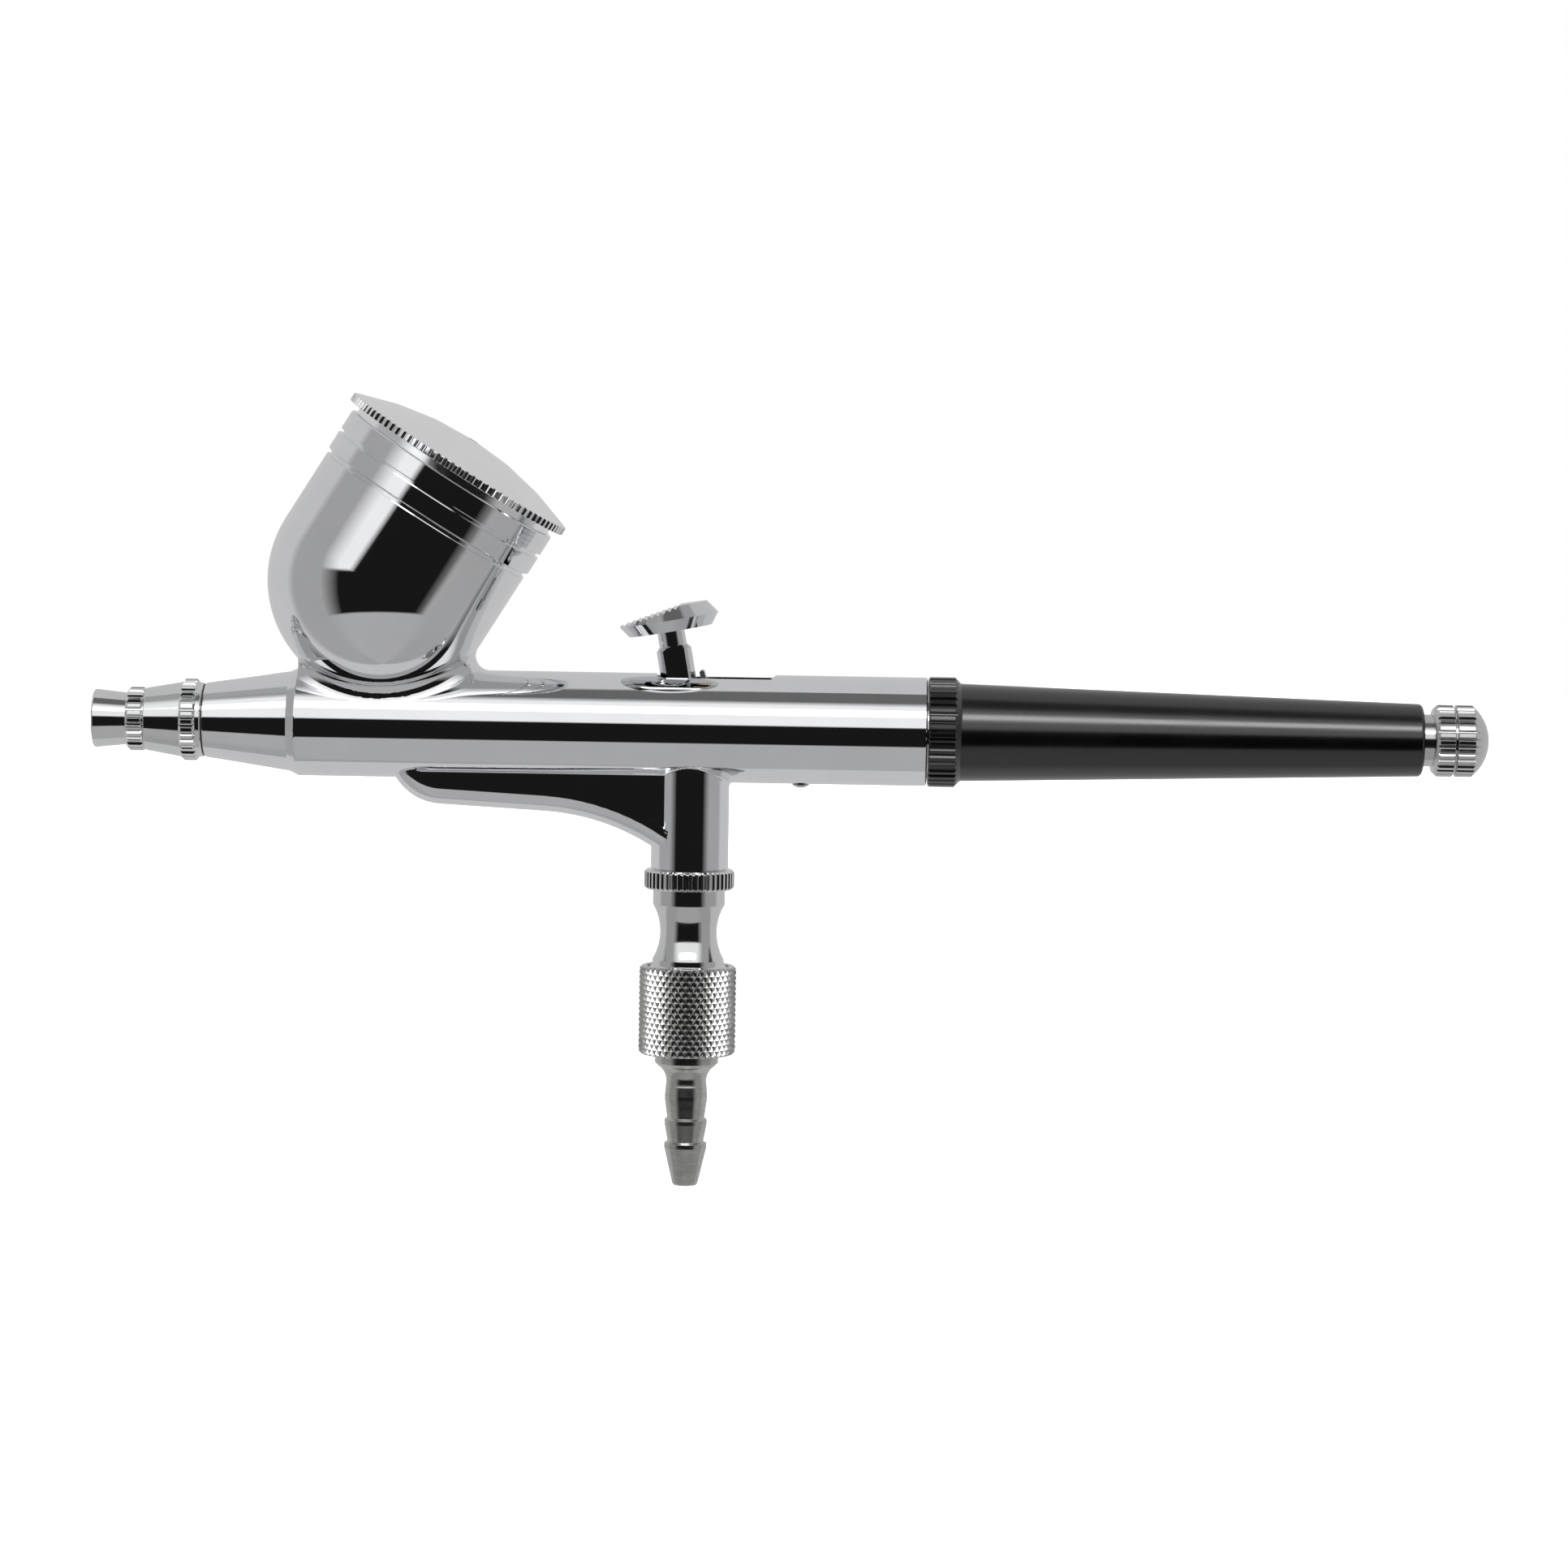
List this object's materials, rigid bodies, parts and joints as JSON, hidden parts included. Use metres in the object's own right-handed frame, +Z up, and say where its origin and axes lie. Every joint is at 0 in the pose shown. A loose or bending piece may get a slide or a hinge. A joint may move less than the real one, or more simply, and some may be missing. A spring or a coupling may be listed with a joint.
{
  "type": "airbrush gun",
  "caption": "Gravity-feed double-action airbrush with a lidded tilted paint cup, thumb trigger, curved finger rest, hose tail on an air valve, and a tapered handle with a needle-stop knob.",
  "frame": {"origin": "where the barrel's axis meets the air valve's axis", "axes": "+X along the barrel from the nozzle to the handle's end, +Z up through the trigger, +Y across, so the gun is symmetric about the XZ plane"},
  "size_m": [0.1633, 0.0292, 0.0925],
  "materials": {
    "body": "polished",
    "lid": "polished",
    "front_caps": "polished",
    "nozzle": "satin",
    "seal": "matte",
    "packing": "matte",
    "inner_brass": "satin",
    "needle": "polished",
    "spring": "satin",
    "trigger": "polished",
    "screw": "satin",
    "valve": "polished",
    "union_nut": "satin",
    "hose_tail": "turned",
    "handle": "satin black anodised",
    "knob": "polished",
    "stop_tip": "matte"
  },
  "bodies": {
    "gun": {"main_body": "body", "needle_cap": "front_caps", "nozzle_cap": "front_caps", "nozzle_cap_seal": "seal", "fluid_nozzle": "nozzle", "nozzle_seal": "packing", "needle_packing": "packing", "packing_screw": "inner_brass", "needle_spring": "spring", "spring_sleeve": "inner_brass", "guide_screw": "screw", "valve_body": "valve", "valve_neck_seal": "seal", "valve_spring": "spring", "valve_retainer": "inner_brass", "handle": "handle"},
    "lid": {"cup_lid": "lid"},
    "plunger": {"valve_plunger": "inner_brass", "valve_head_seal": "seal"},
    "trigger": {"trigger_stem": "trigger", "trigger_button": "trigger"},
    "needle_carriage": {"needle": "needle", "needle_tube": "inner_brass", "chuck_nut": "inner_brass", "lever_pin": "screw"},
    "lever": {"rear_lever": "screw"},
    "tail": {"hose_tail": "hose_tail", "hose_seal": "packing"},
    "nut": {"union_nut": "union_nut"},
    "stop": {"stop_tip": "stop_tip"},
    "knob": {"stop_knob": "knob"}
  },
  "joints": [
    {"name": "lid_lift", "type": "slide", "parent": "gun", "child": "lid", "axis": [0.5299, 0, 0.848], "range_m": [0, 0.012]},
    {"name": "air_press", "type": "slide", "parent": "gun", "child": "plunger", "axis": [0, 0, -1], "range_m": [0, 0.0015], "stiffness_N_per_m": 900, "springref_m": -0.002, "deforming": ["valve_spring"]},
    {"name": "trigger_pull", "type": "hinge", "parent": "plunger", "child": "trigger", "pos_m": [0, 0, -0.003], "axis": [0, 1, 0], "range_deg": [0, 22]},
    {"name": "needle_draw", "type": "slide", "parent": "gun", "child": "needle_carriage", "axis": [1, 0, 0], "range_m": [0, 0.0033], "stiffness_N_per_m": 500, "springref_m": -0.003, "deforming": ["needle_spring"]},
    {"name": "lever_rock", "type": "hinge", "parent": "needle_carriage", "child": "lever", "pos_m": [0.0056, 0, -0.002], "axis": [0, 1, 0], "range_deg": [0, 5]},
    {"name": "union_turn", "type": "hinge", "parent": "tail", "child": "nut", "pos_m": [0, 0, -0.033], "axis": [0, 0, -1], "range_deg": [0, 2160]},
    {"name": "tail_drop", "type": "slide", "parent": "gun", "child": "tail", "axis": [0, 0, -1], "range_m": [0, 0.00544]},
    {"name": "stop_turn", "type": "hinge", "parent": "stop", "child": "knob", "pos_m": [0.0899, 0, 0], "axis": [1, 0, 0], "range_deg": [-720, 1800]},
    {"name": "stop_slide", "type": "slide", "parent": "gun", "child": "stop", "axis": [1, 0, 0], "range_m": [-0.001, 0.0025]}
  ],
  "couplings": [
    {"joint": "trigger_pull", "follows": "needle_draw", "rad_per_m": 116.35},
    {"joint": "lever_rock", "follows": "needle_draw", "rad_per_m": 26.44},
    {"joint": "union_turn", "follows": "tail_drop", "rad_per_m": 6927},
    {"joint": "stop_turn", "follows": "stop_slide", "rad_per_m": 12566}
  ]
}
